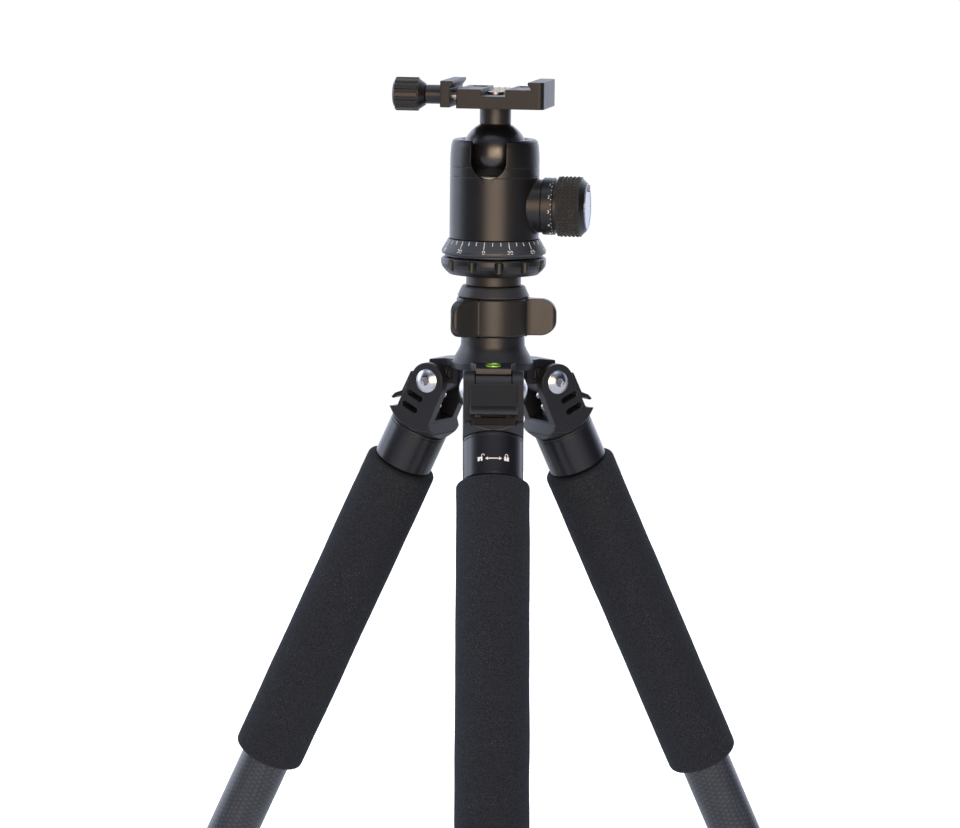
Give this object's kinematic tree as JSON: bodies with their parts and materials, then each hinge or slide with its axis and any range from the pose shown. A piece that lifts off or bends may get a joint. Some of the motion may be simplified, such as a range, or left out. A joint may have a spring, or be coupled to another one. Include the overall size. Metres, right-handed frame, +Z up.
{
  "type": "photo tripod with ball head",
  "caption": "Three-legged carbon photo tripod with foam-covered legs, winged column lock, ball head with panning scale and quick-release clamp.",
  "frame": {"origin": "point on the floor straight below the centre column, level with the bottoms of the three feet", "axes": "+Z up along the centre column, front leg towards -Y, +X to the right of somebody facing the front leg"},
  "size_m": [0.476, 0.416, 0.6362],
  "materials": {
    "black_casting": "satin black coat",
    "black_anodised": "satin black anodised",
    "grey_anodised": "satin dark grey anodised",
    "polished_black": "polished black anodised",
    "carbon_tube": "carbon fibre laminate, satin clear coat",
    "foam": "closed-cell foam, matt",
    "black_rubber": "moulded rubber over metal",
    "foot_rubber": "moulded rubber",
    "polished_steel": "polished stainless steel",
    "steel": "turned steel",
    "brass_thread": "turned brass",
    "seat_plastic": "moulded acetal",
    "liner_plastic": "low-friction plastic",
    "level_green": "clear vial with green liquid",
    "level_clear": "clear vial, pale liquid"
  },
  "bodies": {
    "spider": {"spider": "black_casting", "hinge_bolts": "polished_steel", "spider_level": "level_green", "lock_cap": "grey_anodised"},
    "column_lock": {"column_lock": "black_anodised"},
    "column": {"column_tube": "carbon_tube", "column_platform": "black_anodised", "head_stud": "brass_thread", "head_base": "black_anodised", "pan_dial": "black_anodised", "pan_retainer": "steel"},
    "column_hook": {"column_hook": "polished_steel"},
    "pan_lock_ring": {"pan_lock_ring": "black_anodised"},
    "ball_housing": {"ball_housing": "black_anodised", "ball_seat": "seat_plastic"},
    "ball_liner": {"ball_liner": "liner_plastic"},
    "ball": {"ball": "polished_black"},
    "clamp": {"ball_stem": "black_anodised", "clamp_body": "black_anodised", "clamp_bolt": "steel", "clamp_level": "level_clear"},
    "clamp_jaw": {"clamp_jaw": "black_anodised", "clamp_guides": "steel"},
    "clamp_knob": {"clamp_screw": "steel", "clamp_knob": "black_anodised"},
    "tension_knob": {"tension_knob": "black_anodised", "tension_screw": "steel", "knob_grip": "black_rubber"},
    "friction_dial": {"friction_dial": "polished_steel"},
    "front_leg": {"front_leg_yoke": "black_casting", "front_upper_tube": "carbon_tube", "front_foam_grip": "foam"},
    "front_angle_tab": {"front_angle_tab": "black_anodised"},
    "front_lock_1": {"front_lock_1": "black_rubber"},
    "front_middle": {"front_middle_tube": "carbon_tube"},
    "front_lock_2": {"front_lock_2": "black_rubber"},
    "front_lower": {"front_lower_tube": "carbon_tube", "front_foot": "foot_rubber"},
    "front_collar": {"front_leg_collar": "black_anodised"},
    "right_leg": {"right_leg_yoke": "black_casting", "right_leg_collar": "black_anodised", "right_upper_tube": "carbon_tube", "right_foam_grip": "foam"},
    "right_angle_tab": {"right_angle_tab": "black_anodised"},
    "right_lock_1": {"right_lock_1": "black_rubber"},
    "right_middle": {"right_middle_tube": "carbon_tube"},
    "right_lock_2": {"right_lock_2": "black_rubber"},
    "right_lower": {"right_lower_tube": "carbon_tube", "right_foot": "foot_rubber"},
    "left_leg": {"left_leg_yoke": "black_casting", "left_leg_collar": "black_anodised", "left_upper_tube": "carbon_tube", "left_foam_grip": "foam"},
    "left_angle_tab": {"left_angle_tab": "black_anodised"},
    "left_lock_1": {"left_lock_1": "black_rubber"},
    "left_middle": {"left_middle_tube": "carbon_tube"},
    "left_lock_2": {"left_lock_2": "black_rubber"},
    "left_lower": {"left_lower_tube": "carbon_tube", "left_foot": "foot_rubber"}
  },
  "joints": [
    {"name": "column_lock_turn", "type": "hinge", "parent": "spider", "child": "column_lock", "pos_m": [0, 0, 0.51494], "axis": [0, 0, 1], "range_deg": [0, 100]},
    {"name": "column_rise", "type": "slide", "parent": "spider", "child": "column", "axis": [0, 0, 1], "range_m": [0, 0.18]},
    {"name": "hook_pull", "type": "slide", "parent": "column", "child": "column_hook", "axis": [0, 0, -1], "range_m": [0, 0.01], "stiffness_N_per_m": 900},
    {"name": "pan_lock_turn", "type": "hinge", "parent": "column", "child": "pan_lock_ring", "pos_m": [0, 0, 0.52764], "axis": [0, 0, 1], "range_deg": [0, 60]},
    {"name": "head_pan", "type": "hinge", "parent": "column", "child": "ball_housing", "pos_m": [0, 0, 0.54759], "axis": [0, 0, 1], "continuous": true},
    {"name": "ball_roll", "type": "hinge", "parent": "ball_housing", "child": "ball_liner", "pos_m": [0, 0, 0.59499], "axis": [-0.1736, -0.9848, 0], "range_deg": [-25, 25]},
    {"name": "ball_tilt", "type": "hinge", "parent": "ball_liner", "child": "ball", "pos_m": [0, 0, 0.59499], "axis": [0.9848, -0.1736, 0], "range_deg": [-25, 90]},
    {"name": "ball_spin", "type": "hinge", "parent": "ball", "child": "clamp", "pos_m": [0, 0, 0.59499], "axis": [0, 0, 1], "range_deg": [-180, 180]},
    {"name": "jaw_slide", "type": "slide", "parent": "clamp", "child": "clamp_jaw", "axis": [0.9848, -0.1736, 0], "range_m": [-0.003, 0.0032]},
    {"name": "clamp_knob_turn", "type": "hinge", "parent": "clamp_jaw", "child": "clamp_knob", "pos_m": [-0.04727, 0.00834, 0.62689], "axis": [0.9848, -0.1736, 0], "range_deg": [-868, 925]},
    {"name": "tension_knob_turn", "type": "hinge", "parent": "ball_housing", "child": "tension_knob", "pos_m": [0.03939, -0.00695, 0.56609], "axis": [0.9848, -0.1736, 0], "range_deg": [0, 300]},
    {"name": "friction_dial_turn", "type": "hinge", "parent": "tension_knob", "child": "friction_dial", "pos_m": [0.05121, -0.00903, 0.56609], "axis": [0.9848, -0.1736, 0], "range_deg": [0, 270]},
    {"name": "front_leg_fold", "type": "hinge", "parent": "spider", "child": "front_leg", "pos_m": [0, -0.0329, 0.46684], "axis": [1, 0, 0], "range_deg": [0, 25]},
    {"name": "front_tab_pull", "type": "slide", "parent": "front_leg", "child": "front_angle_tab", "axis": [0, -0.8949, 0.4462], "range_m": [0, 0.004], "stiffness_N_per_m": 600},
    {"name": "front_lock_1_turn", "type": "hinge", "parent": "front_leg", "child": "front_lock_1", "pos_m": [0, -0.22477, 0.08202], "axis": [0, -0.4462, -0.8949], "range_deg": [0, 120]},
    {"name": "front_middle_slide", "type": "slide", "parent": "front_leg", "child": "front_middle", "axis": [0, -0.4462, -0.8949], "range_m": [0, 0.31]},
    {"name": "front_lock_2_turn", "type": "hinge", "parent": "front_middle", "child": "front_lock_2", "pos_m": [0, -0.24261, 0.04622], "axis": [0, -0.4462, -0.8949], "range_deg": [0, 120]},
    {"name": "front_lower_slide", "type": "slide", "parent": "front_middle", "child": "front_lower", "axis": [0, -0.4462, -0.8949], "range_m": [0, 0.34]},
    {"name": "front_collar_turn", "type": "hinge", "parent": "front_leg", "child": "front_collar", "pos_m": [0, -0.05164, 0.42925], "axis": [0, -0.4462, -0.8949], "range_deg": [0, 60]},
    {"name": "right_leg_fold", "type": "hinge", "parent": "spider", "child": "right_leg", "pos_m": [0.02849, 0.01645, 0.46684], "axis": [-0.5, 0.866, 0], "range_deg": [0, 25]},
    {"name": "right_tab_pull", "type": "slide", "parent": "right_leg", "child": "right_angle_tab", "axis": [0.775, 0.4475, 0.4462], "range_m": [0, 0.004], "stiffness_N_per_m": 600},
    {"name": "right_lock_1_turn", "type": "hinge", "parent": "right_leg", "child": "right_lock_1", "pos_m": [0.19465, 0.11238, 0.08202], "axis": [0.3864, 0.2231, -0.8949], "range_deg": [0, 120]},
    {"name": "right_middle_slide", "type": "slide", "parent": "right_leg", "child": "right_middle", "axis": [0.3864, 0.2231, -0.8949], "range_m": [0, 0.31]},
    {"name": "right_lock_2_turn", "type": "hinge", "parent": "right_middle", "child": "right_lock_2", "pos_m": [0.21011, 0.12131, 0.04622], "axis": [0.3864, 0.2231, -0.8949], "range_deg": [0, 120]},
    {"name": "right_lower_slide", "type": "slide", "parent": "right_middle", "child": "right_lower", "axis": [0.3864, 0.2231, -0.8949], "range_m": [0, 0.34]},
    {"name": "left_leg_fold", "type": "hinge", "parent": "spider", "child": "left_leg", "pos_m": [-0.02849, 0.01645, 0.46684], "axis": [-0.5, -0.866, 0], "range_deg": [0, 25]},
    {"name": "left_tab_pull", "type": "slide", "parent": "left_leg", "child": "left_angle_tab", "axis": [-0.775, 0.4475, 0.4462], "range_m": [0, 0.004], "stiffness_N_per_m": 600},
    {"name": "left_lock_1_turn", "type": "hinge", "parent": "left_leg", "child": "left_lock_1", "pos_m": [-0.19465, 0.11238, 0.08202], "axis": [-0.3864, 0.2231, -0.8949], "range_deg": [0, 120]},
    {"name": "left_middle_slide", "type": "slide", "parent": "left_leg", "child": "left_middle", "axis": [-0.3864, 0.2231, -0.8949], "range_m": [0, 0.31]},
    {"name": "left_lock_2_turn", "type": "hinge", "parent": "left_middle", "child": "left_lock_2", "pos_m": [-0.21011, 0.12131, 0.04622], "axis": [-0.3864, 0.2231, -0.8949], "range_deg": [0, 120]},
    {"name": "left_lower_slide", "type": "slide", "parent": "left_middle", "child": "left_lower", "axis": [-0.3864, 0.2231, -0.8949], "range_m": [0, 0.34]}
  ],
  "couplings": [
    {"joint": "clamp_knob_turn", "follows": "jaw_slide", "rad_per_m": 5025}
  ]
}
